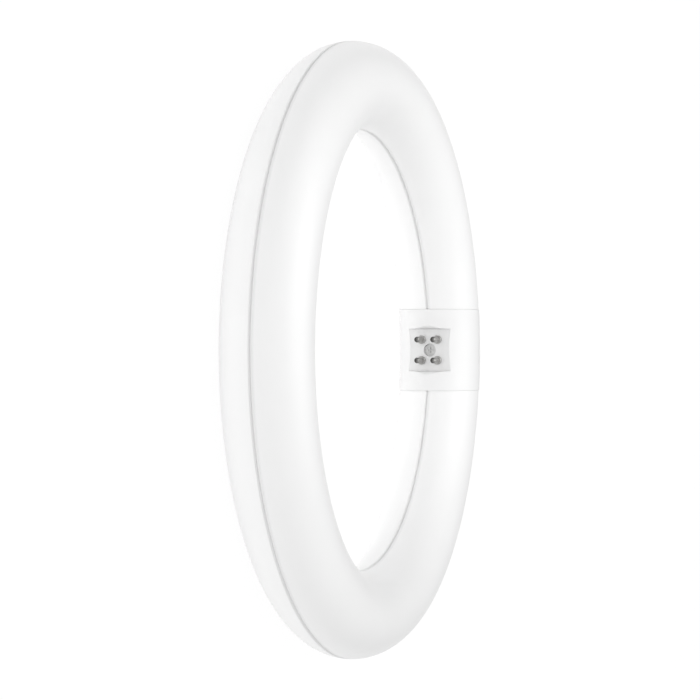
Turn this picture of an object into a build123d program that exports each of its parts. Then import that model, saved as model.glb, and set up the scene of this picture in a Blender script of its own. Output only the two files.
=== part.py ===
"""Circular LED tube with a four-pin base.

The ring lies flat with its axis on Z and its light side up. The base is at +Y, and its pins point to the
centre. All sizes are in millimetres.
"""

import math
import os

from build123d import *

os.makedirs("parts", exist_ok=True)

# Ring and its two half shells
ring_outer_diameter = 216.0
tube_diameter = 30.5
shell_wall = 1.4
seam_gap = 0.04
seam_edge = 0.6
tongue_height = 2.0
tongue_thickness = 0.5
tongue_clearance = 0.1

# Base collar that closes the ring
base_length = 31.0
base_proud = 0.2
base_wall = 1.95
base_end_gap = 0.05
base_parting_gap = 0.1
spigot_length = 5.0
spigot_wall = 1.2
spigot_clearance = 0.2
spigot_root = 4.0

# Notch for the plug, and the plate in it
notch_length = 16.2
notch_depth = 2.1
notch_edge_radius = 1.8
plate_thickness = 3.2
plate_rim = 0.3
plate_clearance = 0.03
ledge_thickness = 1.6
ledge_opening_length = 12.6
ledge_opening_width = 11.6
ledge_block_margin = 2.4

# Contact pins
pin_spacing_along = 7.92
pin_spacing_across = 6.35
pin_diameter = 2.2
pin_length = 6.8
pin_tip_radius = 0.9
pin_shoulder_diameter = 3.2
pin_shoulder_height = 1.1
pin_shoulder_edge = 0.3
pin_shank_diameter = 2.0
pin_shank_clearance = 0.05
pin_tail_diameter = 1.6
pin_tail_length = 2.2

# Screw that clamps the two halves of the base
screw_head_diameter = 4.8
screw_head_height = 1.0
screw_head_edge = 0.1
screw_head_sink = 1.4
screw_head_clearance = 0.05
screw_diameter = 2.5
screw_hole_clearance = 0.2
screw_length = 16.0
screw_tip = 0.6
screw_slot_length = 2.2
screw_slot_width = 0.5
screw_slot_depth = 0.4
screw_boss_diameter = 6.2
screw_boss_rise = 2.75
screw_thread_clearance = 0.05
screw_end_clearance = 1.0

# LED boards on their rails
rail_height = 1.0
rail_width = 1.6
board_thickness = 1.0
board_edge_clearance = 0.3
board_end_clearance = 1.0
board_joint_gap = 1.0
chip_length = 3.5
chip_width = 2.8
chip_height = 0.7
chip_pitch = 7.2
chip_end_margin = 4.0
link_length = 5.0
link_width = 2.0
link_thickness = 0.4
link_offset = 6.0

# Driver board on its posts
driver_length = 92.0
driver_thickness = 1.2
driver_edge_clearance = 0.9
driver_headroom = 1.25
post_diameter = 3.6
peg_diameter = 1.8
peg_clearance = 0.1
post_distances = (4.0, 38.5, 88.0)
wire_diameter = 1.2
wire_headroom = 1.0
wire_rise = 3.2
wire_bend = 2.4
wire_lead_in = 6.0
wire_offsets = (4.0, -2.0)
strap_thickness = 0.5
strap_margin = 1.0
strap_clearance = 0.05

# Parts on the driver board. A distance is along it from the base, and an offset is outward from its middle
bulk_diameter = 8.0
bulk_length = 14.0
bulk_distance = 51.0
output_diameter = 6.3
output_length = 9.5
output_distance = 77.0
crimp_width = 0.8
crimp_depth = 0.35
crimp_distance = 2.2
film_size = (10.0, 4.5, 7.5)
film_edge_radius = 0.6
film_distance = 22.0
varistor_diameter = 7.0
varistor_thickness = 3.2
varistor_edge = 0.8
varistor_rise = 0.6
varistor_lead_spacing = 5.0
varistor_offset = -5.0
resistor_diameter = 3.0
resistor_length = 8.0
resistor_edge = 0.5
resistor_offset = 6.0
input_distance = 12.0
choke_diameter = 6.0
choke_height = 7.0
choke_edge = 0.8
choke_distance = 32.0
drum_diameter = 8.0
drum_neck_diameter = 4.0
drum_flange = 1.0
drum_height = 7.5
drum_distance = 65.5
winding_clearance = 0.1
winding_inset = 0.4
lead_size = 0.6
lead_reach = 0.9
rectifier_size = (4.8, 3.8, 2.4)
rectifier_offset = 7.4
chip_package_size = (4.9, 3.9, 1.5)
chip_package_offset = 7.4
diode_size = (4.3, 2.6, 2.2)
diode_offset = -7.4
package_standoff = 0.1
leg_width = 0.5
leg_length = 1.2
leg_thickness = 0.3
leg_overlap = 0.2
header_length = 5.0
header_width = 2.5
header_end_distance = 12.0
header_offset = -7.0

# Sizes that follow from the ones above
tube_radius = tube_diameter / 2
ring_radius = ring_outer_diameter / 2 - tube_radius
bore_radius = tube_radius - shell_wall
tongue_reach = bore_radius + tongue_thickness
base_radius = tube_radius + base_proud
base_bore_radius = base_radius - base_wall
base_half = base_length / 2
spigot_radius = bore_radius - spigot_clearance
spigot_bore_radius = spigot_radius - spigot_wall
spigot_end = base_half + spigot_length
notch_half = notch_length / 2
base_face_y = ring_radius - base_radius
pin_face_y = base_face_y + notch_depth
ledge_y = pin_face_y + plate_thickness
ledge_back_y = ledge_y + ledge_thickness
split_y = ring_radius
boss_top_y = split_y - screw_boss_rise
tail_end_y = ledge_y + pin_tail_length
head_top_y = pin_face_y + screw_head_sink
head_seat_y = head_top_y + screw_head_height
driver_bottom = -(bore_radius - bulk_diameter - driver_headroom)
driver_top = driver_bottom + driver_thickness
rail_top = driver_top + wire_diameter + wire_headroom
board_half_width = math.sqrt(bore_radius**2 - rail_top**2) - board_edge_clearance
board_top = rail_top + board_thickness
board_end_reach = spigot_end + board_end_clearance
board_end_angle = math.degrees(math.asin(board_end_reach / (ring_radius - board_half_width)))
driver_half_width = math.sqrt(bore_radius**2 - driver_bottom**2) - driver_edge_clearance
driver_first_angle = 90 - board_end_angle
around_base = 2 * tube_diameter


def radial_plane(angle):
    """Plane through the ring's axis, with x outward and y up, at this angle round the ring."""
    turn = math.radians(angle)
    outward = (math.cos(turn), math.sin(turn), 0)
    return Plane(origin=(0, 0, 0), x_dir=outward, z_dir=(math.sin(turn), -math.cos(turn), 0))


def facing_plane(distance):
    """Plane across the base, this far from the ring's axis and facing it, with x along X and y up."""
    return Plane.XZ.offset(-distance)


def ring_point(angle, offset, height):
    """Point at this angle round the ring, offset outward from the middle of the tube."""
    turn = math.radians(angle)
    reach = ring_radius + offset
    return (reach * math.cos(turn), reach * math.sin(turn), height)


def along_driver(distance):
    """Angle round the ring at this distance along the driver board from its end at the base."""
    return driver_first_angle - math.degrees(distance / ring_radius)


def under_driver(distance, offset):
    """Plane on the driver board's underside, with x along the ring, y outward and z down."""
    angle = along_driver(distance)
    turn = math.radians(angle)
    return Plane(
        origin=ring_point(angle, offset, driver_bottom),
        x_dir=(-math.sin(turn), math.cos(turn), 0),
        z_dir=(0, 0, -1),
    )


def run_out(x):
    """Half height of the pin face where it runs out on the base's round surface."""
    depth = ring_radius - math.hypot(x, pin_face_y)
    return math.sqrt(base_radius**2 - depth**2)


def plate_outline(end_gap, rim):
    """Outline with straight ends in the notch and sides that follow the run-out of the pin face."""
    half_length = notch_half - end_gap
    end = run_out(half_length) - rim
    middle = run_out(0) - rim
    with BuildLine() as outline:
        Line((half_length, -end), (half_length, end))
        ThreePointArc((half_length, end), (0, middle), (-half_length, end))
        Line((-half_length, end), (-half_length, -end))
        ThreePointArc((-half_length, -end), (0, -middle), (half_length, -end))
    return outline.edges()


def keep(piece, name):
    """Label a finished piece and write it out."""
    piece.label = name
    export_step(piece, f"parts/{name}.step")


# Front diffuser: the half of the tube that the light leaves by
with BuildPart() as front_diffuser:
    with BuildSketch(Plane.XZ) as front_section:
        with Locations((ring_radius, 0)):
            Circle(tube_radius)
            Circle(bore_radius, mode=Mode.SUBTRACT)
            Rectangle(2 * (tongue_reach + tongue_clearance), 2 * tongue_height, mode=Mode.SUBTRACT)
        with Locations((ring_radius, seam_gap / 2)):
            Rectangle(around_base, around_base, align=(Align.CENTER, Align.MAX), mode=Mode.SUBTRACT)
        rims = front_section.vertices().group_by(Axis.Y)[0].sort_by(Axis.X)
        chamfer([rims[0], rims[-1]], seam_edge)
    revolve(axis=Axis.Z)
    with Locations((0, ring_radius, 0)):
        Box(base_length + 2 * base_end_gap, around_base, around_base, mode=Mode.SUBTRACT)
keep(front_diffuser.part, "front_diffuser")

# Rear housing: the half behind the light, with a tongue at the seam, board rails and driver posts
with BuildPart() as rear_housing:
    with BuildSketch(Plane.XZ) as rear_section:
        with Locations((ring_radius, 0)):
            Circle(tube_radius)
        with Locations((ring_radius, -seam_gap / 2)):
            Rectangle(around_base, around_base, align=(Align.CENTER, Align.MIN), mode=Mode.SUBTRACT)
        with Locations((ring_radius, 0)):
            Rectangle(2 * tongue_reach, 2 * tongue_height)
            Circle(bore_radius, mode=Mode.SUBTRACT)
            Rectangle(2 * bore_radius, tongue_height, align=(Align.CENTER, Align.MIN), mode=Mode.SUBTRACT)
        shoulders = rear_section.vertices().sort_by(Axis.X)
        chamfer([shoulders[0], shoulders[-1]], seam_edge)
    revolve(axis=Axis.Z)
    with BuildSketch(radial_plane(90 + board_end_angle)) as rail_section:
        with Locations((ring_radius, rail_top)):
            Rectangle(2 * bore_radius + tongue_thickness, rail_height, align=(Align.CENTER, Align.MAX))
            Rectangle(2 * (bore_radius - rail_width), 2 * rail_height, mode=Mode.SUBTRACT)
    revolve(axis=Axis.Z, revolution_arc=360 - 2 * board_end_angle)
    with BuildSketch(Plane.XY.offset(driver_bottom)) as post_section:
        for distance in post_distances:
            with Locations(ring_point(along_driver(distance), 0, 0)[:2]):
                Circle(post_diameter / 2)
    extrude(amount=-(driver_bottom + tube_radius - shell_wall / 2))
    with BuildSketch(Plane.XY.offset(driver_bottom)) as peg_section:
        for distance in post_distances:
            with Locations(ring_point(along_driver(distance), 0, 0)[:2]):
                Circle(peg_diameter / 2)
    extrude(amount=driver_thickness)
    with Locations((0, ring_radius, 0)):
        Box(base_length + 2 * base_end_gap, around_base, around_base, mode=Mode.SUBTRACT)
keep(rear_housing.part, "rear_housing")

# Hollow of the base, which leaves a thick floor behind the notch
with BuildPart() as base_hollow:
    with BuildSketch(Plane.XZ):
        with Locations((ring_radius, 0)):
            Circle(base_bore_radius)
    revolve(axis=Axis.Z)
    with Locations((0, ring_radius, 0)):
        Box(base_length + around_base, around_base, around_base, mode=Mode.INTERSECT)
    with Locations((0, ledge_back_y, 0)):
        Box(
            notch_length + 2 * ledge_block_margin,
            around_base,
            around_base,
            align=(Align.CENTER, Align.MAX, Align.CENTER),
            mode=Mode.SUBTRACT,
        )

# Spigots that plug into the two ends of the tube
with BuildPart() as spigots:
    with BuildSketch(Plane.XZ):
        with Locations((ring_radius, 0)):
            Circle(spigot_radius)
            Circle(spigot_bore_radius, mode=Mode.SUBTRACT)
    revolve(axis=Axis.Z)
    with Locations((0, ring_radius, 0)):
        Box(2 * spigot_end, around_base, around_base, mode=Mode.INTERSECT)
        Box(2 * (base_half - spigot_root), around_base, around_base, mode=Mode.SUBTRACT)

# Whole base before it is split into its two halves. The rims of the notch are rounded into the collar
edge_x = notch_half + notch_edge_radius
edge_y = math.sqrt((base_face_y + notch_edge_radius) ** 2 - edge_x**2)
edge_turn = math.degrees(math.atan2(edge_y, edge_x))
with BuildPart() as base_body:
    with BuildSketch(Plane.XZ):
        with Locations((ring_radius, 0)):
            Circle(base_radius)
    revolve(axis=Axis.Z)
    with Locations((0, ring_radius, 0)):
        Box(base_length, around_base, around_base, mode=Mode.INTERSECT)
    add(base_hollow.part, mode=Mode.SUBTRACT)
    add(spigots.part)
    with BuildSketch(Plane.XY) as notch_section:
        with BuildLine():
            Polyline((0, pin_face_y), (notch_half, pin_face_y), (notch_half, edge_y))
            rim = CenterArc((edge_x, edge_y), notch_edge_radius, 180, edge_turn)
            Polyline(rim @ 1, ((rim @ 1).X, edge_y - tube_radius), (0, edge_y - tube_radius))
            mirror(about=Plane.YZ)
        make_face()
    extrude(amount=tube_diameter, both=True, mode=Mode.SUBTRACT)
    with BuildSketch(facing_plane(ledge_y)):
        make_face(plate_outline(0, plate_rim))
    extrude(amount=plate_thickness, mode=Mode.SUBTRACT)
    with BuildSketch(facing_plane(ledge_back_y)):
        Rectangle(ledge_opening_length, ledge_opening_width)
    extrude(amount=plate_thickness + ledge_thickness, mode=Mode.SUBTRACT)

# Inner half of the base, with the notch
with BuildPart() as base_inner_shell:
    add(base_body.part)
    split(bisect_by=facing_plane(split_y), keep=Keep.TOP)
keep(base_inner_shell.part, "base_inner_shell")

# Outer half of the base, with the boss that takes the screw
with BuildPart() as base_outer_shell:
    add(base_body.part)
    split(bisect_by=facing_plane(split_y + base_parting_gap), keep=Keep.BOTTOM)
    with BuildSketch(facing_plane(boss_top_y)):
        Circle(screw_boss_diameter / 2)
    extrude(amount=-(ring_radius + base_radius - base_wall / 2 - boss_top_y))
    with BuildSketch(facing_plane(boss_top_y)):
        Circle(screw_diameter / 2 + screw_thread_clearance)
    extrude(amount=-(head_seat_y + screw_length + screw_end_clearance - boss_top_y), mode=Mode.SUBTRACT)
keep(base_outer_shell.part, "base_outer_shell")

# Pin plate, let into the floor of the notch down to the ledge
with BuildPart() as pin_plate:
    with BuildSketch(facing_plane(ledge_y)):
        make_face(plate_outline(plate_clearance, plate_rim + plate_clearance))
    extrude(amount=plate_thickness)
    with BuildSketch(facing_plane(ledge_y)):
        with GridLocations(pin_spacing_along, pin_spacing_across, 2, 2):
            Circle(pin_shank_diameter / 2 + pin_shank_clearance)
        Circle(screw_diameter / 2 + screw_hole_clearance)
    extrude(amount=plate_thickness, mode=Mode.SUBTRACT)
    with BuildSketch(facing_plane(head_seat_y)):
        Circle(screw_head_diameter / 2 + screw_head_clearance)
    extrude(amount=screw_head_height + screw_head_sink, mode=Mode.SUBTRACT)
keep(pin_plate.part, "pin_plate")

# Contact pins, each turned in one piece, with a shoulder on the plate and a tail behind it
pin_tip_flat = pin_diameter / 2 - pin_tip_radius
pin_spots = [
    (x * pin_spacing_along / 2, z * pin_spacing_across / 2) for x in (1, -1) for z in (1, -1)
]
for number, (x, z) in enumerate(pin_spots, start=1):
    with BuildPart() as contact_pin:
        with BuildSketch(Plane(origin=(x, pin_face_y, z), x_dir=(1, 0, 0), z_dir=(0, 0, -1))):
            with BuildLine():
                Polyline(
                    (pin_tip_flat, pin_length),
                    (0, pin_length),
                    (0, -plate_thickness - pin_tail_length),
                    (pin_tail_diameter / 2, -plate_thickness - pin_tail_length),
                    (pin_tail_diameter / 2, -plate_thickness),
                    (pin_shank_diameter / 2, -plate_thickness),
                    (pin_shank_diameter / 2, 0),
                    (pin_shoulder_diameter / 2, 0),
                    (pin_shoulder_diameter / 2, pin_shoulder_height - pin_shoulder_edge),
                    (pin_shoulder_diameter / 2 - pin_shoulder_edge, pin_shoulder_height),
                    (pin_diameter / 2, pin_shoulder_height),
                    (pin_diameter / 2, pin_length - pin_tip_radius),
                )
                CenterArc((pin_tip_flat, pin_length - pin_tip_radius), pin_tip_radius, 0, 90)
            make_face()
        revolve(axis=Axis((x, pin_face_y, z), (0, 1, 0)))
    keep(contact_pin.part, f"contact_pin_{number}")

# Base screw, with a cross slot in its head
with BuildPart() as base_screw:
    with BuildSketch(facing_plane(head_seat_y)):
        Circle(screw_head_diameter / 2)
    extrude(amount=screw_head_height)
    chamfer(base_screw.edges().group_by(Axis.Y)[0], screw_head_edge)
    with BuildSketch(facing_plane(head_top_y)):
        Rectangle(screw_slot_length, screw_slot_width)
        Rectangle(screw_slot_width, screw_slot_length)
    extrude(amount=-screw_slot_depth, mode=Mode.SUBTRACT)
    with BuildSketch(facing_plane(head_seat_y)):
        Circle(screw_diameter / 2)
    extrude(amount=-screw_length)
    chamfer(base_screw.edges().group_by(Axis.Y)[-1], screw_tip)
keep(base_screw.part, "base_screw")

# LED boards on the rails, one for each half of the ring, and the packages on them
joint_angle = math.degrees(board_joint_gap / 2 / ring_radius)
board_span = 180 - board_end_angle - joint_angle
chip_margin_angle = math.degrees(chip_end_margin / ring_radius)
chip_arc = board_span - 2 * chip_margin_angle
chip_count = int(math.radians(chip_arc) * ring_radius / chip_pitch) + 1
for number, first_angle in enumerate((joint_angle - 90, 90 + board_end_angle), start=1):
    with BuildPart() as led_board:
        with BuildSketch(radial_plane(first_angle)):
            with Locations((ring_radius, rail_top)):
                Rectangle(2 * board_half_width, board_thickness, align=(Align.CENTER, Align.MIN))
        revolve(axis=Axis.Z, revolution_arc=board_span)
    keep(led_board.part, f"led_board_{number}")
    with BuildPart() as led_chips:
        with BuildSketch(Plane.XY.offset(board_top)):
            first_chip = first_angle + chip_margin_angle
            with PolarLocations(ring_radius, chip_count, first_chip, chip_arc, endpoint=True):
                Rectangle(chip_width, chip_length)
        extrude(amount=chip_height)
    keep(led_chips.part, f"led_chips_{number}")

# Straps across the joint between the boards
with BuildPart() as board_links:
    with Locations((0, -ring_radius - link_offset, board_top), (0, -ring_radius + link_offset, board_top)):
        Box(link_length, link_width, link_thickness, align=(Align.CENTER, Align.CENTER, Align.MIN))
keep(board_links.part, "board_links")

# Driver board, held by pegs on the posts
with BuildPart() as driver_board:
    with BuildSketch(radial_plane(along_driver(driver_length))):
        with Locations((ring_radius, driver_bottom)):
            Rectangle(2 * driver_half_width, driver_thickness, align=(Align.CENTER, Align.MIN))
    revolve(axis=Axis.Z, revolution_arc=math.degrees(driver_length / ring_radius))
    with BuildSketch(Plane.XY.offset(driver_bottom)):
        for distance in post_distances:
            with Locations(ring_point(along_driver(distance), 0, 0)[:2]):
                Circle(peg_diameter / 2 + peg_clearance)
    extrude(amount=driver_thickness, mode=Mode.SUBTRACT)
keep(driver_board.part, "driver_board")

# Header that feeds the first LED board from the driver board
with BuildPart(under_driver(driver_length - header_end_distance, header_offset)) as board_header:
    with Locations((0, 0, -driver_thickness)):
        Box(header_length, header_width, rail_top - driver_top, align=(Align.CENTER, Align.CENTER, Align.MAX))
keep(board_header.part, "board_header")

on_board = (Align.CENTER, Align.CENTER, Align.MIN)
to_can = (Align.MAX, Align.CENTER, Align.CENTER)


def lying_capacitor(distance, diameter, length):
    """Can lying along the board, with a crimp near one end and two bent leads."""
    with BuildPart(under_driver(distance, 0)) as can:
        with Locations((0, 0, diameter / 2)):
            Cylinder(diameter / 2, length, rotation=(0, 90, 0))
        with Locations((length / 2 - crimp_distance, 0, diameter / 2)):
            Cylinder(diameter / 2, crimp_width, rotation=(0, 90, 0), mode=Mode.SUBTRACT)
            Cylinder(diameter / 2 - crimp_depth, crimp_width, rotation=(0, 90, 0))
        for side in (-diameter / 4, diameter / 4):
            with Locations((length / 2 + lead_reach, side, 0)):
                Box(lead_size, lead_size, (diameter + lead_size) / 2, align=on_board)
            with Locations((length / 2 + lead_reach + lead_size / 2, side, diameter / 2)):
                Box(lead_reach + lead_size, lead_size, lead_size, align=to_can)
    return can


# Electrolytic capacitors before and after the converter
keep(lying_capacitor(bulk_distance, bulk_diameter, bulk_length).part, "bulk_capacitor")
keep(lying_capacitor(output_distance, output_diameter, output_length).part, "output_capacitor")

# Fusible resistor at the input
with BuildPart(under_driver(input_distance, resistor_offset)) as fusible_resistor:
    with Locations((0, 0, resistor_diameter / 2)):
        Cylinder(resistor_diameter / 2, resistor_length, rotation=(0, 90, 0))
    chamfer(fusible_resistor.edges().filter_by(GeomType.CIRCLE), resistor_edge)
    with Locations((0, 0, resistor_diameter / 2)):
        Box(resistor_length + 2 * lead_reach + lead_size, lead_size, lead_size)
    with GridLocations(resistor_length + 2 * lead_reach, lead_size, 2, 1):
        Box(lead_size, lead_size, resistor_diameter / 2, align=on_board)
keep(fusible_resistor.part, "fusible_resistor")

# Varistor disc across the input
with BuildPart(under_driver(input_distance, varistor_offset)) as varistor:
    with Locations((0, 0, varistor_diameter / 2 + varistor_rise)):
        Cylinder(varistor_diameter / 2, varistor_thickness, rotation=(90, 0, 0))
    chamfer(varistor.edges().filter_by(GeomType.CIRCLE), varistor_edge)
    with GridLocations(varistor_lead_spacing, lead_size, 2, 1):
        Box(lead_size, lead_size, varistor_diameter / 2, align=on_board)
keep(varistor.part, "varistor")

# Film capacitor after the rectifier
with BuildPart(under_driver(film_distance, 0)) as film_capacitor:
    Box(*film_size, align=on_board)
    fillet(film_capacitor.edges().filter_by(Axis.Z), film_edge_radius)
keep(film_capacitor.part, "film_capacitor")

# Sleeved filter choke
with BuildPart(under_driver(choke_distance, 0)) as filter_choke:
    Cylinder(choke_diameter / 2, choke_height, align=on_board)
    chamfer(filter_choke.edges().group_by(Axis.Z)[0], choke_edge)
keep(filter_choke.part, "filter_choke")

# Drum inductor of the converter: ferrite core and its winding
drum_neck_height = drum_height - 2 * drum_flange
with BuildPart(under_driver(drum_distance, 0)) as inductor_core:
    Cylinder(drum_diameter / 2, drum_flange, align=on_board)
    Cylinder(drum_neck_diameter / 2, drum_height, align=on_board)
    with Locations((0, 0, drum_height - drum_flange)):
        Cylinder(drum_diameter / 2, drum_flange, align=on_board)
keep(inductor_core.part, "inductor_core")
with BuildPart(under_driver(drum_distance, 0)) as inductor_winding:
    with Locations((0, 0, drum_flange)):
        Cylinder(drum_diameter / 2 - winding_inset, drum_neck_height, align=on_board)
        Cylinder(
            drum_neck_diameter / 2 + winding_clearance, drum_neck_height, align=on_board, mode=Mode.SUBTRACT
        )
keep(inductor_winding.part, "inductor_winding")


def flat_package(distance, offset, size, legs):
    """Moulded package on the board, with flat legs along its two long sides."""
    length, width, height = size
    with BuildPart(under_driver(distance, offset)) as package:
        with Locations((0, 0, package_standoff)):
            Box(length, width, height, align=on_board)
        with GridLocations(length / legs, width + leg_length - 2 * leg_overlap, legs, 2):
            Box(leg_width, leg_length, leg_thickness, align=on_board)
    return package


# Flat packages: rectifier, converter chip and diode
keep(flat_package(film_distance, rectifier_offset, rectifier_size, 2).part, "bridge_rectifier")
keep(flat_package(drum_distance, chip_package_offset, chip_package_size, 4).part, "driver_chip")
keep(flat_package(drum_distance, diode_offset, diode_size, 1).part, "freewheel_diode")

# Strap across the tails of the pair of pins that the driver doesn't use
with BuildPart() as pin_bridge:
    with BuildSketch(facing_plane(ledge_y)):
        with Locations((-pin_spacing_along / 2, 0)):
            SlotCenterToCenter(pin_spacing_across, pin_tail_diameter + 2 * strap_margin, rotation=90)
        for spot in pin_spots[2:]:
            with Locations(spot):
                Circle(pin_tail_diameter / 2 + strap_clearance, mode=Mode.SUBTRACT)
    extrude(amount=-strap_thickness)
keep(pin_bridge.part, "pin_bridge")

# Wires from the other pair of pins to the driver board
for number, (spot, offset) in enumerate(zip(pin_spots[:2], wire_offsets), start=1):
    x, z = spot
    wire_height = driver_top + wire_diameter / 2
    with BuildPart() as lead_wire:
        with BuildLine() as route:
            FilletPolyline(
                (x, tail_end_y, z),
                (x, tail_end_y + wire_rise, z),
                ring_point(along_driver(-wire_lead_in), offset, wire_height),
                ring_point(along_driver(wire_lead_in), offset, wire_height),
                radius=wire_bend,
            )
        with BuildSketch(Plane(origin=(x, tail_end_y, z), x_dir=(1, 0, 0), z_dir=(0, 1, 0))):
            Circle(wire_diameter / 2)
        sweep()
    keep(lead_wire.part, f"lead_wire_{number}")
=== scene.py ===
"""Looks of a circular LED tube with a four-pin base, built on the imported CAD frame.

All lengths are in metres.
"""

import math

import bmesh
import bpy
from mathutils import Matrix, Vector


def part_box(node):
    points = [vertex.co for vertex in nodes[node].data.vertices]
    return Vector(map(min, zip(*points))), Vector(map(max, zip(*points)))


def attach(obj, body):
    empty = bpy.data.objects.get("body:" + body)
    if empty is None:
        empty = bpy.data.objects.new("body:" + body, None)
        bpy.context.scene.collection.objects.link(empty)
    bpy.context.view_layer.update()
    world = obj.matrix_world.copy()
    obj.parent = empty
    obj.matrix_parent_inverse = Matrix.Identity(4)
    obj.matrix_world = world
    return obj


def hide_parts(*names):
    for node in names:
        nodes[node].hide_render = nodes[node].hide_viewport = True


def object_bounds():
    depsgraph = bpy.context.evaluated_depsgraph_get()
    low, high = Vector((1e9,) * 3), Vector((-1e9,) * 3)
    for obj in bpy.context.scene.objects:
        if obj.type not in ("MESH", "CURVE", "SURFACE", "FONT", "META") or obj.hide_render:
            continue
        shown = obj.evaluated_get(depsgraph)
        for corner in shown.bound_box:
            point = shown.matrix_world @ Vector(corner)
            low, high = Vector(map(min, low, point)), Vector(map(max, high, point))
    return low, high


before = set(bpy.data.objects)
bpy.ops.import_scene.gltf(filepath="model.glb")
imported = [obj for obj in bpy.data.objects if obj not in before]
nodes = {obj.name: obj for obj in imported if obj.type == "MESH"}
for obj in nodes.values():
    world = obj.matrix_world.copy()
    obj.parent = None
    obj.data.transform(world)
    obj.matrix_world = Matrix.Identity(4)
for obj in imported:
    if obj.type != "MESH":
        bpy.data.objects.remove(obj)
cad_low, cad_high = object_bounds()

# Rear housing: the half of the tube behind the light, and the piece that everything else is put into.
# It is injection moulded in satin white polycarbonate. A tongue along its rim locates the front half,
# rails carry the LED boards, and three pegged posts carry the driver board.
rear_low, rear_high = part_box("rear_housing")
tube_radius = -rear_low.z
ring_radius = rear_high.x - tube_radius
shell_wall = 0.0014
bore_radius = tube_radius - shell_wall
seam_gap = 0.00002
seam_bevel = 0.0006
bevel_radius = 0.006
tongue_height = rear_high.z
tongue_thickness = 0.0005
tongue_reach = bore_radius + tongue_thickness
tongue_clearance = 0.0001
tube_end = 0.01555
ring_steps = 288
outer_steps = 64
bore_steps = 40
bevel_steps = 8
crisp_angle = math.radians(35)
weld_distance = 1e-6


def put(tree, kind, feeds=None, **settings):
    """Add a node with these settings, and feed its inputs with values or with other nodes' outputs."""
    made = tree.nodes.new(kind)
    for name, value in settings.items():
        setattr(made, name, value)
    for key, value in (feeds or {}).items():
        if isinstance(value, bpy.types.NodeSocket):
            tree.links.new(value, made.inputs[key])
        else:
            made.inputs[key].default_value = value
    return made


def result(tree, operation, first, second=0.0):
    """Output of a maths node on two values."""
    return put(tree, "ShaderNodeMath", {0: first, 1: second}, operation=operation).outputs[0]


def split(tree, vector):
    """X, Y and Z outputs of a vector."""
    return put(tree, "ShaderNodeSeparateXYZ", {0: vector}).outputs


def on_circle(tree, reach, turn, height=0.0):
    """Vector at this reach and turn round Z, at this height."""
    x = result(tree, "MULTIPLY", reach, result(tree, "COSINE", turn))
    y = result(tree, "MULTIPLY", reach, result(tree, "SINE", turn))
    return put(tree, "ShaderNodeCombineXYZ", {"X": x, "Y": y, "Z": height}).outputs[0]


def arc(x, y, radius, first, last, steps):
    """Points on an arc round (x, y), with its two angles in degrees."""
    turns = [math.radians(first + (last - first) * step / steps) for step in range(steps + 1)]
    return [(x + radius * math.cos(turn), y + radius * math.sin(turn)) for turn in turns]


def node_group(name, kind, inputs, outputs):
    """Empty node group with these sockets, and what its input node puts out."""
    group = bpy.data.node_groups.new(name, kind)
    for in_out, sockets in (("INPUT", inputs), ("OUTPUT", outputs)):
        for label, value_kind in sockets.items():
            group.interface.new_socket(label, in_out=in_out, socket_type="NodeSocket" + value_kind)
    return group, put(group, "NodeGroupInput").outputs


def shape_tree(name, sizes):
    """Geometry tree that takes an outline and the named sizes."""
    outline = {"Geometry": "Geometry"}
    return node_group(name, "GeometryNodeTree", {**outline, **sizes}, outline)


def grown(points, closed, tree, values):
    """Run a tree on one outline and return the result as a plain mesh."""
    curve = bpy.data.curves.new("outline", "CURVE")
    curve.dimensions = "2D"
    curve.fill_mode = "NONE"
    spline = curve.splines.new("POLY")
    spline.points.add(len(points) - 1)
    for point, (x, y) in zip(spline.points, points):
        point.co = (x, y, 0.0, 1.0)
    spline.use_cyclic_u = closed
    outline = bpy.data.objects.new("outline", curve)
    bpy.context.scene.collection.objects.link(outline)
    modifier = outline.modifiers.new("shape", "NODES")
    modifier.node_group = tree
    sockets = {item.name: item for item in tree.interface.items_tree if item.in_out == "INPUT"}
    for size, value in values.items():
        modifier[sockets[size].identifier] = value
    bpy.context.view_layer.update()
    evaluated = outline.evaluated_get(bpy.context.evaluated_depsgraph_get())
    mesh = bpy.data.meshes.new_from_object(evaluated)
    outline.modifiers.remove(modifier)
    bpy.data.objects.remove(outline)
    return mesh


def placed(name, meshes, slot, *replaced):
    """Join meshes into one piece on the body and put it in place of its CAD nodes."""
    whole = bmesh.new()
    for mesh in meshes:
        whole.from_mesh(mesh)
    whole.to_mesh(meshes[0])
    whole.free()
    meshes[0].name = name
    piece = bpy.data.objects.new(name, meshes[0])
    bpy.context.scene.collection.objects.link(piece)
    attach(piece, "root")
    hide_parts(*replaced)


def smooth_and_dress(tree, geometry, material):
    """Smooth shading with crisp corners, then the material, as the end of a tree."""
    realized = put(tree, "GeometryNodeRealizeInstances", {0: geometry}).outputs[0]
    rounded = {"Geometry": realized, "Shade Smooth": True}
    smooth = put(tree, "GeometryNodeSetShadeSmooth", rounded, domain="FACE").outputs[0]
    angle = put(tree, "GeometryNodeInputMeshEdgeAngle").outputs["Unsigned Angle"]
    limits = {0: angle, 1: crisp_angle}
    corner = put(tree, "FunctionNodeCompare", limits, operation="GREATER_THAN").outputs[0]
    sharpened = {"Geometry": smooth, "Selection": corner, "Shade Smooth": False}
    crisp = put(tree, "GeometryNodeSetShadeSmooth", sharpened, domain="EDGE").outputs[0]
    dressed = put(tree, "GeometryNodeSetMaterial", {"Geometry": crisp, "Material": material})
    put(tree, "NodeGroupOutput", {0: dressed.outputs[0]})


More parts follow.
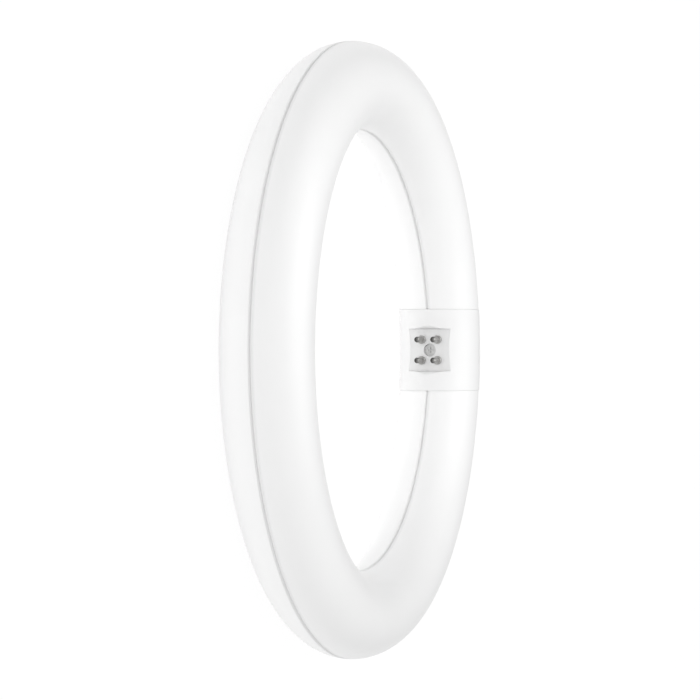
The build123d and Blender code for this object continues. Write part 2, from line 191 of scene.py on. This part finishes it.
def straight_sweep(tree, profile, steps, caps):
    """Outline swept along Z from 0 to 1, to be bent or turned."""
    ends = {"Start": (0, 0, 0), "End": (0, 0, 1)}
    line = put(tree, "GeometryNodeCurvePrimitiveLine", ends).outputs[0]
    path = put(tree, "GeometryNodeResampleCurve", {"Curve": line, "Count": steps}).outputs[0]
    feeds = {"Curve": path, "Profile Curve": profile, "Fill Caps": caps}
    return put(tree, "GeometryNodeCurveToMesh", feeds).outputs[0]


def wrapped(tree, geometry, reach, turn, height):
    """Geometry moved to this reach, turn and height round Z, with its faces turned outward again."""
    spot = on_circle(tree, reach, turn, height)
    moved = put(tree, "GeometryNodeSetPosition", {"Geometry": geometry, "Position": spot}).outputs[0]
    return put(tree, "GeometryNodeFlipFaces", {0: moved}).outputs[0]


# Outline swept round the ring, with its ends flat against the collar or at an angle from its middle
ring_sweep, sizes = shape_tree(
    "ring_sweep",
    {
        "Ring Radius": "Float",
        "End Distance": "Float",
        "End Angle": "Float",
        "Steps": "Int",
        "Finish": "Material",
    },
)
bar = straight_sweep(ring_sweep, sizes["Geometry"], sizes["Steps"], True)
place = split(ring_sweep, put(ring_sweep, "GeometryNodeInputPosition").outputs[0])
reach = result(ring_sweep, "ADD", sizes["Ring Radius"], place["X"])
flat_end = result(ring_sweep, "ARCSINE", result(ring_sweep, "DIVIDE", sizes["End Distance"], reach))
end = result(ring_sweep, "MAXIMUM", flat_end, sizes["End Angle"])
span = result(ring_sweep, "SUBTRACT", 2 * math.pi, result(ring_sweep, "MULTIPLY", end, 2.0))
first = result(ring_sweep, "ADD", end, math.pi / 2)
turn = result(ring_sweep, "ADD", first, result(ring_sweep, "MULTIPLY", span, place["Z"]))
smooth_and_dress(ring_sweep, wrapped(ring_sweep, bar, reach, turn, place["Y"]), sizes["Finish"])


def turned(tree, profile, steps):
    """Outline from the axis and back to it, turned round Z into a closed body."""
    sheet = straight_sweep(tree, profile, steps, False)
    place = split(tree, put(tree, "GeometryNodeInputPosition").outputs[0])
    turn = result(tree, "MULTIPLY", place["Z"], 2 * math.pi)
    body = wrapped(tree, sheet, place["X"], turn, place["Y"])
    welded = {"Geometry": body, "Distance": weld_distance}
    return put(tree, "GeometryNodeMergeByDistance", welded).outputs[0]


# Driver posts, each turned from one outline and stood at its distance along the ring
driver_posts, sizes = shape_tree(
    "driver_posts",
    {
        "Ring Radius": "Float",
        "First Angle": "Float",
        "Post 1": "Float",
        "Post 2": "Float",
        "Post 3": "Float",
        "Steps": "Int",
        "Finish": "Material",
    },
)
post = turned(driver_posts, sizes["Geometry"], sizes["Steps"])
row = put(driver_posts, "GeometryNodeJoinGeometry")
for number in (1, 2, 3):
    away = result(driver_posts, "DIVIDE", sizes[f"Post {number}"], sizes["Ring Radius"])
    turn = result(driver_posts, "SUBTRACT", sizes["First Angle"], away)
    seat = {"Geometry": post, "Translation": on_circle(driver_posts, sizes["Ring Radius"], turn)}
    driver_posts.links.new(put(driver_posts, "GeometryNodeTransform", seat).outputs[0], row.inputs[0])
smooth_and_dress(driver_posts, row.outputs[0], sizes["Finish"])


def piece_spot(tree):
    """Place of the shaded point on its piece."""
    return put(tree, "ShaderNodeTexCoord").outputs["Object"]


def noise(tree, spot, scale, detail):
    """Soft noise from 0 to 1."""
    return put(tree, "ShaderNodeTexNoise", {"Vector": spot, "Scale": scale, "Detail": detail}).outputs[0]


def swing(tree, value, amount):
    """Swing of a noise round its middle, times an amount."""
    return result(tree, "MULTIPLY", result(tree, "SUBTRACT", value, 0.5), amount)


def scaled(tree, vector, factor):
    """Vector or colour times a factor, or times another vector."""
    return put(tree, "ShaderNodeVectorMath", {0: vector, 1: factor}, operation="MULTIPLY").outputs[0]


def raised(tree, height, depth):
    """Normal of a surface that rises by this depth with the height."""
    return put(tree, "ShaderNodeBump", {"Strength": 1.0, "Distance": depth, "Height": height}).outputs[0]


# Grain that a moulded surface takes from its tool: a faint mottle, uneven gloss and a fine texture
looks = {"Color": "Color", "Roughness": "Float", "Normal": "Vector"}
grain, given = node_group(
    "moulded_grain",
    "ShaderNodeTree",
    {
        "Color": "Color",
        "Mottle": "Float",
        "Mottle Scale": "Float",
        "Grain Scale": "Float",
        "Grain Depth": "Float",
        "Roughness": "Float",
        "Roughness Spread": "Float",
    },
    looks,
)
spot = piece_spot(grain)
mottle = noise(grain, spot, given["Mottle Scale"], 3.0)
texture = noise(grain, spot, given["Grain Scale"], 2.0)
tint = scaled(grain, given["Color"], result(grain, "ADD", swing(grain, mottle, given["Mottle"]), 1.0))
gloss = result(grain, "ADD", given["Roughness"], swing(grain, texture, given["Roughness Spread"]))
normal = raised(grain, texture, given["Grain Depth"])
put(grain, "NodeGroupOutput", {"Color": tint, "Roughness": gloss, "Normal": normal})


def surface(name, effect, values, metallic=0.0):
    """Material whose colour, gloss and normal come from a shared effect with these values."""
    material = bpy.data.materials.new(name)
    material.use_nodes = True
    tree = material.node_tree
    shader = tree.nodes["Principled BSDF"]
    shader.inputs["Metallic"].default_value = metallic
    finish = put(tree, "ShaderNodeGroup", values, node_tree=effect, name="finish")
    for given_out, taken_in in (("Color", "Base Color"), ("Roughness", "Roughness"), ("Normal", "Normal")):
        tree.links.new(finish.outputs[given_out], shader.inputs[taken_in])
    return material


def moulded(
    name, colour, roughness, mottle=0.03, mottle_scale=60.0, grain_scale=2600.0, grain_depth=0.000012
):
    """Plastic with the grain of its moulding tool."""
    values = {
        "Color": colour,
        "Mottle": mottle,
        "Mottle Scale": mottle_scale,
        "Grain Scale": grain_scale,
        "Grain Depth": grain_depth,
        "Roughness": roughness,
        "Roughness Spread": 0.12,
    }
    return surface(name, grain, values)


# Numbers of the sockets of a Mix node that take its two colours and give the mixed one
mix_first, mix_second, mix_result = 6, 7, 2


def two_tones(material, mask, plain, marked):
    """Colour a material with one tone, and with another where the mask is 1."""
    tree = material.node_tree
    tones = {"Factor": mask, mix_first: plain, mix_second: marked}
    mixed = put(tree, "ShaderNodeMix", tones, data_type="RGBA").outputs[mix_result]
    tree.links.new(mixed, tree.nodes["finish"].inputs["Color"])


def fading(tree, value, full, end, most=1.0):
    """Mask that falls from its most to nothing as a value goes from full to end."""
    limits = {"Value": value, "From Min": full, "From Max": end, "To Min": most, "To Max": 0.0}
    return put(tree, "ShaderNodeMapRange", limits).outputs[0]


def seam_painted_shade(material, colour, grey, full, end):
    """Painted shade along the seam: grey the plastic fully up to one height from the seam, then fading out.
    """
    tree = material.node_tree
    height = result(tree, "ABSOLUTE", split(tree, piece_spot(tree))["Z"])
    seam_shade_tone = tuple(grey * part for part in colour[:3]) + (1.0,)
    two_tones(material, fading(tree, height, full, end), colour, seam_shade_tone)


rear_colour = (0.82, 0.82, 0.82, 1.0)
# Painted shade: the rear half's colour is greyed near the seam, where the groove is in shade.
rear_seam_shade = 0.935
rear_seam_shade_full = 0.0004
rear_seam_shade_end = 0.0011
rear_finish = moulded("satin_white_rear", rear_colour, 0.42)
seam_painted_shade(rear_finish, rear_colour, rear_seam_shade, rear_seam_shade_full, rear_seam_shade_end)

# Slightly crowned bevel of a rim at the seam, from the lip of the rim out to the tube's surface
lip = Vector((tube_radius - seam_bevel, seam_gap / 2))
brow_height = lip.y + seam_bevel
brow = Vector((math.sqrt(tube_radius**2 - brow_height**2), brow_height))
chord = brow - lip
inward = Vector((-chord.y, chord.x)).normalized()
hub = (lip + brow) / 2 + inward * math.sqrt(bevel_radius**2 - (chord.length / 2) ** 2)
lip_turn, brow_turn = (math.degrees(math.atan2(end.y - hub.y, end.x - hub.x)) for end in (lip, brow))
bevel = arc(hub.x, hub.y, bevel_radius, lip_turn, brow_turn, bevel_steps)
brow_angle = math.degrees(math.atan2(brow.y, brow.x))

rear_outline = (
    [(-x, -y) for x, y in bevel]
    + arc(0, 0, tube_radius, 180 + brow_angle, 360 - brow_angle, outer_steps)[1:-1]
    + [(x, -y) for x, y in reversed(bevel)]
    + [(tongue_reach, -lip.y), (tongue_reach, tongue_height), (bore_radius, tongue_height)]
    + arc(0, 0, bore_radius, 0, -180, bore_steps)
    + [(-bore_radius, tongue_height), (-tongue_reach, tongue_height), (-tongue_reach, -lip.y)]
)
rail_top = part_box("led_board_1")[0].z
rail_height = 0.001
rail_width = 0.0016
rail_root = 0.0003
rail_foot = rail_top - rail_height
rail_inner = bore_radius - rail_width
rail_outer = bore_radius + rail_root
rails = [
    [(near, rail_foot), (far, rail_foot), (far, rail_top), (near, rail_top)]
    for near, far in ((rail_inner, rail_outer), (-rail_outer, -rail_inner))
]
board_end_distance = 0.0215
board_edge_clearance = 0.0003
board_half_width = math.sqrt(bore_radius**2 - rail_top**2) - board_edge_clearance
board_end_angle = math.asin(board_end_distance / (ring_radius - board_half_width))
driver_low, driver_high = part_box("driver_board")
post_distances = (0.004, 0.0385, 0.088)
post_steps = 33
post_radius = 0.0018
post_foot = -tube_radius + shell_wall / 2
peg_radius = 0.0009
peg_edge = 0.0001
post_outline = [
    (0, post_foot),
    (post_radius, post_foot),
    (post_radius, driver_low.z),
    (peg_radius, driver_low.z),
    (peg_radius, driver_high.z - peg_edge),
    (peg_radius - peg_edge, driver_high.z),
    (0, driver_high.z),
]
ring = {"Ring Radius": ring_radius, "Steps": ring_steps, "Finish": rear_finish}
flat_ends = {"End Distance": tube_end, "End Angle": 0.0}
rail_ends = {"End Distance": 0.0, "End Angle": board_end_angle}
post_sizes = {
    "Ring Radius": ring_radius,
    "First Angle": math.pi / 2 - board_end_angle,
    "Post 1": post_distances[0],
    "Post 2": post_distances[1],
    "Post 3": post_distances[2],
    "Steps": post_steps,
    "Finish": rear_finish,
}
rear_pieces = [grown(rear_outline, True, ring_sweep, {**ring, **flat_ends})]
rear_pieces += [grown(rail, True, ring_sweep, {**ring, **rail_ends}) for rail in rails]
rear_pieces.append(grown(post_outline, False, driver_posts, post_sizes))
placed("rear_housing_shell", rear_pieces, "white_rear", "rear_housing")

# Driver board: glass-fibre laminate under green lacquer, pressed onto the pegs with its parts below.
# Paler patches show where copper lies under the lacquer. The black header feeds the LED boards.
lacquer_green = (0.02, 0.13, 0.055, 1.0)
copper_green = (0.045, 0.24, 0.1, 1.0)
patch_scale = 260.0
patch_limit = 0.45


def dress(material, *names):
    """Give CAD nodes a material."""
    for name in names:
        nodes[name].data.materials.clear()
        nodes[name].data.materials.append(material)


board_finish = moulded("green_lacquer", lacquer_green, 0.35, mottle=0.2, mottle_scale=300.0)
tree = board_finish.node_tree
cells = {"Vector": piece_spot(tree), "Scale": patch_scale}
patch = put(tree, "ShaderNodeTexVoronoi", cells, distance="CHEBYCHEV").outputs["Color"]
chance = put(tree, "ShaderNodeSeparateColor", {0: patch}).outputs[0]
two_tones(board_finish, result(tree, "GREATER_THAN", chance, patch_limit), lacquer_green, copper_green)
dress(board_finish, "driver_board")
black_finish = moulded("black_epoxy", (0.025, 0.025, 0.028, 1.0), 0.55, mottle=0.35, mottle_scale=900.0)
dress(black_finish, "board_header")

# Capacitors, varistor, resistor and choke on the driver board: wound or pressed parts on wire leads.
# The cans have a dark shrunk sleeve, the others a dipped coat of epoxy or lacquer with an uneven skin.
sleeve_finish = moulded("dark_sleeve", (0.04, 0.045, 0.06, 1.0), 0.32, mottle=0.25, mottle_scale=200.0)
dress(sleeve_finish, "bulk_capacitor", "output_capacitor")
dipped = {"mottle": 0.3, "mottle_scale": 350.0, "grain_scale": 900.0, "grain_depth": 0.00004}
dress(moulded("brown_dip", (0.42, 0.13, 0.05, 1.0), 0.3, **dipped), "film_capacitor")
dress(moulded("blue_dip", (0.04, 0.11, 0.4, 1.0), 0.35, **dipped), "varistor")
dress(moulded("green_lacquered_body", (0.2, 0.35, 0.24, 1.0), 0.4, **dipped), "fusible_resistor")
dress(moulded("black_sleeve", (0.03, 0.03, 0.03, 1.0), 0.4, **dipped), "filter_choke")

# Inductor, rectifier, converter chip and diode: a ferrite drum with its copper winding, and flat packages.
# The drum is pressed and sintered, so it is matt and speckled, and the winding shows its turns.
# The packages are moulded in black epoxy.
speckled = {"mottle": 0.5, "mottle_scale": 2500.0}
dress(moulded("sintered_ferrite", (0.05, 0.05, 0.055, 1.0), 0.75, **speckled), "inductor_core")
dress(black_finish, "bridge_rectifier", "driver_chip", "freewheel_diode")

# Fine lines that turning, drawing or winding leave in metal, with a tarnish that darkens it unevenly
blotch_scale = 700.0
lined_metal, given = node_group(
    "lined_metal",
    "ShaderNodeTree",
    {
        "Color": "Color",
        "Line Density": "Vector",
        "Line Depth": "Float",
        "Tarnish": "Float",
        "Roughness": "Float",
        "Roughness Spread": "Float",
    },
    looks,
)
spot = piece_spot(lined_metal)
lines = noise(lined_metal, scaled(lined_metal, spot, given["Line Density"]), 1.0, 3.0)
loss = swing(lined_metal, noise(lined_metal, spot, blotch_scale, 4.0), given["Tarnish"])
tint = scaled(lined_metal, given["Color"], result(lined_metal, "SUBTRACT", 1.0, loss))
uneven = swing(lined_metal, lines, given["Roughness Spread"])
gloss = result(lined_metal, "ADD", given["Roughness"], uneven)
normal = raised(lined_metal, lines, given["Line Depth"])
put(lined_metal, "NodeGroupOutput", {"Color": tint, "Roughness": gloss, "Normal": normal})


def metal(name, colour, roughness, density, depth=0.00001, tarnish=0.3, metallic=1.0):
    """Metal with the lines of its making."""
    values = {
        "Color": colour,
        "Line Density": density,
        "Line Depth": depth,
        "Tarnish": tarnish,
        "Roughness": roughness,
        "Roughness Spread": 0.2,
    }
    return surface(name, lined_metal, values, metallic)


turns_of_wire = (60.0, 60.0, 2600.0)
winding_finish = metal("wound_copper", (0.6, 0.24, 0.1, 1.0), 0.35, turns_of_wire, depth=0.00008)
dress(winding_finish, "inductor_winding")

# LED boards: two arcs of aluminium with a white lacquered face, laid on the rails and joined by straps.
# The packages are white frames round a yellow phosphor window, soldered along the middle of the boards.
# The straps are drawn copper.
board_metal = (0.55, 0.56, 0.57, 1.0)
lacquer_white = (0.8, 0.81, 0.8, 1.0)
frame_white = (0.8, 0.79, 0.75, 1.0)
phosphor = (0.78, 0.56, 0.13, 1.0)
window_half = 0.00105
copper = (0.62, 0.27, 0.13, 1.0)


def face_up(tree):
    """Mask of the faces that look up."""
    normal = put(tree, "ShaderNodeNewGeometry").outputs["Normal"]
    return result(tree, "GREATER_THAN", split(tree, normal)["Z"], 0.5)


def length(tree, vector):
    """Length of a vector."""
    return put(tree, "ShaderNodeVectorMath", {0: vector}, operation="LENGTH").outputs["Value"]


lacquer_finish = moulded("white_lacquer_on_aluminium", lacquer_white, 0.4)
two_tones(lacquer_finish, face_up(lacquer_finish.node_tree), board_metal, lacquer_white)
dress(lacquer_finish, "led_board_1", "led_board_2")
dress(metal("drawn_copper", copper, 0.3, (2000.0, 2000.0, 200.0)), "board_links")
package_finish = moulded("phosphor_in_white_frame", phosphor, 0.45, mottle=0.1)
tree = package_finish.node_tree
reach = length(tree, scaled(tree, piece_spot(tree), (1.0, 1.0, 0.0)))
aside = result(tree, "ABSOLUTE", result(tree, "SUBTRACT", reach, ring_radius))
window = result(tree, "MULTIPLY", result(tree, "LESS_THAN", aside, window_half), face_up(tree))
two_tones(package_finish, window, frame_white, phosphor)
dress(package_finish, "led_chips_1", "led_chips_2")

# Front diffuser: the half of the tube that the light leaves by, pushed over the tongue of the rear half.
# It is moulded in opal polycarbonate, a shade deeper than the rear half, and its satin face hides the LEDs.
front_colour = (0.79, 0.79, 0.79, 1.0)
# Painted shade: the front half's colour is greyed near the seam, where the groove is in shade.
front_seam_shade = 0.9
front_seam_shade_full = 0.0008
front_seam_shade_end = 0.0016
rebate_reach = tongue_reach + tongue_clearance
rebate_angle = math.degrees(math.asin(tongue_height / bore_radius))
front_finish = moulded("opal_front", front_colour, 0.38)
seam_painted_shade(front_finish, front_colour, front_seam_shade, front_seam_shade_full, front_seam_shade_end)
front_outline = (
    bevel
    + arc(0, 0, tube_radius, brow_angle, 180 - brow_angle, outer_steps)[1:-1]
    + [(-x, y) for x, y in reversed(bevel)]
    + [(-rebate_reach, lip.y), (-rebate_reach, tongue_height)]
    + arc(0, 0, bore_radius, 180 - rebate_angle, rebate_angle, bore_steps)
    + [(rebate_reach, tongue_height), (rebate_reach, lip.y)]
)
front_mesh = grown(front_outline, True, ring_sweep, {**ring, **flat_ends, "Finish": front_finish})
placed("front_diffuser_shell", [front_mesh], "opal_front", "front_diffuser")

# Contact pins: four brass pins turned in one piece and nickel plated, with a shoulder on the pin plate.
# Their shanks are pressed through the plate. The underside of each tip is coloured darker, as painted
# shade.
pin_spacing_along = 0.00792
pin_spacing_across = 0.00635
pin_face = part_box("pin_plate")[0].y
plate_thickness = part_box("pin_plate")[1].y - pin_face
pin_radius = 0.0011
pin_length = 0.0068
pin_tip_radius = 0.0009
pin_steps = 49
tip_steps = 10
shoulder_radius = 0.0016
shoulder_height = 0.0011
shoulder_edge = 0.0003
shoulder_steps = 6
shank_radius = 0.001
tail_radius = 0.0008
tail_edge = 0.0001
tail_length = 0.0022
tail_end = plate_thickness + tail_length
rim_x, rim_y = shoulder_radius - shoulder_edge, shoulder_height - shoulder_edge
tip_x, tip_y = pin_radius - pin_tip_radius, pin_length - pin_tip_radius
pin_outline = (
    [(0, -tail_end), (tail_radius - tail_edge, -tail_end), (tail_radius, tail_edge - tail_end)]
    + [(tail_radius, -plate_thickness), (shank_radius, -plate_thickness)]
    + [(shank_radius, 0), (shoulder_radius, 0)]
    + arc(rim_x, rim_y, shoulder_edge, 0, 90, shoulder_steps)
    + [(pin_radius, shoulder_height)]
    + arc(tip_x, tip_y, pin_tip_radius, 0, 90, tip_steps)
    + [(0, pin_length)]
)
contact_pins, sizes = shape_tree(
    "contact_pins",
    {
        "Spacing Along": "Float",
        "Spacing Across": "Float",
        "Face Distance": "Float",
        "Steps": "Int",
        "Finish": "Material",
    },
)
pin = turned(contact_pins, sizes["Geometry"], sizes["Steps"])
pattern = {
    "Size X": sizes["Spacing Along"],
    "Size Y": sizes["Spacing Across"],
    "Vertices X": 2,
    "Vertices Y": 2,
}
spots = put(contact_pins, "GeometryNodeMeshGrid", pattern).outputs["Mesh"]
four = put(contact_pins, "GeometryNodeInstanceOnPoints", {"Points": spots, "Instance": pin}).outputs[0]
seat = put(contact_pins, "ShaderNodeCombineXYZ", {"Y": sizes["Face Distance"]}).outputs[0]
inward_turn = (math.pi / 2, 0.0, 0.0)
stood = {"Geometry": four, "Translation": seat, "Rotation": inward_turn}
facing = put(contact_pins, "GeometryNodeTransform", stood).outputs[0]
smooth_and_dress(contact_pins, facing, sizes["Finish"])

pin_body = (0.42, 0.415, 0.405, 1.0)
# Painted shade: the dark tone put on the underside of the pin tips.
tip_shade_colour = (0.08, 0.079, 0.077, 1.0)
tip_shade_full = 0.0008
tip_shade_end = 0.002
underside_full = -0.0002
underside_end = 0.0012
turning_lines = (300.0, 9000.0, 300.0)
pin_finish = metal("nickel_plated_pin", pin_body, 0.36, turning_lines)
tree = pin_finish.node_tree
place = split(tree, piece_spot(tree))
pin_end = pin_face - pin_length
at_tip = fading(tree, place["Y"], pin_end + tip_shade_full, pin_end + tip_shade_end)
pin_axis = result(tree, "MULTIPLY", result(tree, "SIGN", place["Z"]), pin_spacing_across / 2)
underside = fading(tree, result(tree, "SUBTRACT", place["Z"], pin_axis), underside_full, underside_end)
two_tones(pin_finish, result(tree, "MULTIPLY", at_tip, underside), pin_body, tip_shade_colour)
pin_sizes = {
    "Spacing Along": pin_spacing_along,
    "Spacing Across": pin_spacing_across,
    "Face Distance": pin_face,
    "Steps": pin_steps,
    "Finish": pin_finish,
}
pin_names = [f"contact_pin_{number}" for number in (1, 2, 3, 4)]
pin_mesh = grown(pin_outline, False, contact_pins, pin_sizes)
placed("contact_pins", [pin_mesh], "plated_pin", *pin_names)

# Pin plate: white insulating moulding, let into the floor of the notch, that holds the four pins.
# It is a flat filled plastic with a matt face. A round recess in its middle takes the head of the screw.
plate_colour = (0.75, 0.75, 0.75, 1.0)
plate_finish = moulded("matt_white_plate", plate_colour, 0.55, mottle=0.05, mottle_scale=400.0)
dress(plate_finish, "pin_plate")

# Bridge and lead wires behind the pin plate: a copper strap across one pair of pins, and two insulated
# wires that are soldered to the tails of the other pair and run through the spigot to the driver board.
dress(metal("punched_copper", copper, 0.32, (300.0, 300.0, 3000.0)), "pin_bridge")
soft = {"mottle": 0.15, "mottle_scale": 800.0, "grain_scale": 3000.0, "grain_depth": 0.00001}
dress(moulded("brown_insulation", (0.13, 0.05, 0.025, 1.0), 0.5, **soft), "lead_wire_1")
dress(moulded("blue_insulation", (0.03, 0.08, 0.3, 1.0), 0.5, **soft), "lead_wire_2")

# Base collar: two white half shells that close the ring and carry the notch for the plug.
# They are moulded in the same satin plastic as the tube, with spigots that plug into its two ends.
base_finish = moulded("satin_white_base", (0.765, 0.765, 0.765, 1.0), 0.40)
dress(base_finish, "base_inner_shell", "base_outer_shell")

# Base screw: cross-slotted steel screw, dull zinc plated, sunk in the recess of the pin plate.
# It goes through to a boss in the outer shell, and clamps the plate and the two shells together.
zinc = (0.67, 0.67, 0.665, 1.0)
heading_lines = (4000.0, 300.0, 4000.0)
screw_finish = metal("dull_zinc", zinc, 0.6, heading_lines, tarnish=0.25, metallic=0.35)
dress(screw_finish, "base_screw")

# Stage: a wide pale light table under the ring. It glows from below, most along the ring's inner foot,
# which keeps shadows faint, and it shows nearly white to the camera and in reflections.
floor_half = 8.0
floor_colour = (0.82, 0.82, 0.82, 1.0)
table_glow = 0.352
foot_glow = 0.64
foot_reach = 0.03
white_share = 0.92
floor_mesh = bpy.data.meshes.new("floor")
corners = [(floor_half * x, floor_half * y, cad_low.z) for x, y in ((-1, -1), (1, -1), (1, 1), (-1, 1))]
floor_mesh.from_pydata(corners, [], [(0, 1, 2, 3)])
floor = bpy.data.objects.new("floor", floor_mesh)
bpy.context.scene.collection.objects.link(floor)
floor_finish = bpy.data.materials.new("pale_floor")
floor_finish.use_nodes = True
tree = floor_finish.node_tree
tree.nodes.clear()
rays = put(tree, "ShaderNodeLightPath").outputs
seen = result(tree, "MAXIMUM", rays["Is Camera Ray"], rays["Is Glossy Ray"])
seen = result(tree, "MAXIMUM", seen, rays["Is Transmission Ray"])
share = result(tree, "MULTIPLY", seen, white_share)
paint = put(tree, "ShaderNodeBsdfDiffuse", {"Color": floor_colour}).outputs[0]
away = length(tree, piece_spot(tree))
at_foot = fading(tree, away, ring_radius, ring_radius - foot_reach, foot_glow - table_glow)
inside = result(tree, "MULTIPLY", at_foot, result(tree, "LESS_THAN", away, ring_radius))
strength = result(tree, "ADD", inside, table_glow)
glow = put(tree, "ShaderNodeEmission", {"Strength": strength}).outputs[0]
table = put(tree, "ShaderNodeAddShader", {0: paint, 1: glow}).outputs[0]
white = put(tree, "ShaderNodeEmission", {"Strength": 1.0}).outputs[0]
mixed = put(tree, "ShaderNodeMixShader", {0: share, 1: table, 2: white}).outputs[0]
put(tree, "ShaderNodeOutputMaterial", {"Surface": mixed})
floor_mesh.materials.append(floor_finish)

# Light: a pale room that is brightest overhead, on the camera's side and past the low end of the picture,
# and two soft boxes, one above the ring and one off its other end.
room_glow = (("Z", 1.0, 1.08), ("Y", -1.0, 1.52), ("Y", 1.0, 0.515), ("X", 1.0, 0.854))
glow_falloff = 2.0
world = bpy.data.worlds.new("studio")
bpy.context.scene.world = world
world.use_nodes = True
tree = world.node_tree
tree.nodes.clear()
toward = split(tree, put(tree, "ShaderNodeTexCoord").outputs["Generated"])
strength = 0.0
for axis, side, weight in room_glow:
    facing = result(tree, "MAXIMUM", result(tree, "MULTIPLY", toward[axis], side), 0.0)
    lobe = result(tree, "MULTIPLY", result(tree, "POWER", facing, glow_falloff), weight)
    strength = result(tree, "ADD", lobe, strength)
room = put(tree, "ShaderNodeBackground", {"Strength": strength}).outputs[0]
put(tree, "ShaderNodeOutputWorld", {"Surface": room})

box_size = 0.5
box_aim = Vector((0.0, -0.02, 0.0))
for name, box_place, power in (
    ("soft_box_above", Vector((-0.10, 0.05, 0.60)), 1.465),
    ("soft_box_side", Vector((-0.35, -0.10, 0.50)), 0.745),
):
    light = bpy.data.lights.new(name, "AREA")
    light.shape = "SQUARE"
    light.size = box_size
    light.energy = power
    lamp = bpy.data.objects.new(name, light)
    aim = (box_aim - box_place).to_track_quat("-Z", "Y").to_matrix().to_4x4()
    lamp.matrix_world = Matrix.Translation(box_place) @ aim
    bpy.context.scene.collection.objects.link(lamp)

# Camera: on the open side of the ring, level with the centre of its length, rolled so that the base is
# at the right of the picture and the ring stands upright in it.
camera_data = bpy.data.cameras.new("camera")
camera_data.sensor_width = 36.0
camera_data.lens = 129.2
camera_place = Vector((0.0, -0.8354, 0.28708))
camera_tilt = math.radians(19.24)
camera_back = Vector((0.0, -math.cos(camera_tilt), math.sin(camera_tilt)))
camera_up = Vector((-1.0, 0.0, 0.0))
camera_right = camera_up.cross(camera_back)
camera_turn = Matrix((camera_right, camera_up, camera_back)).transposed().to_4x4()
camera = bpy.data.objects.new("camera", camera_data)
camera.matrix_world = Matrix.Translation(camera_place) @ camera_turn
bpy.context.scene.collection.objects.link(camera)
bpy.context.scene.camera = camera
bpy.context.scene.view_settings.view_transform = "Standard"
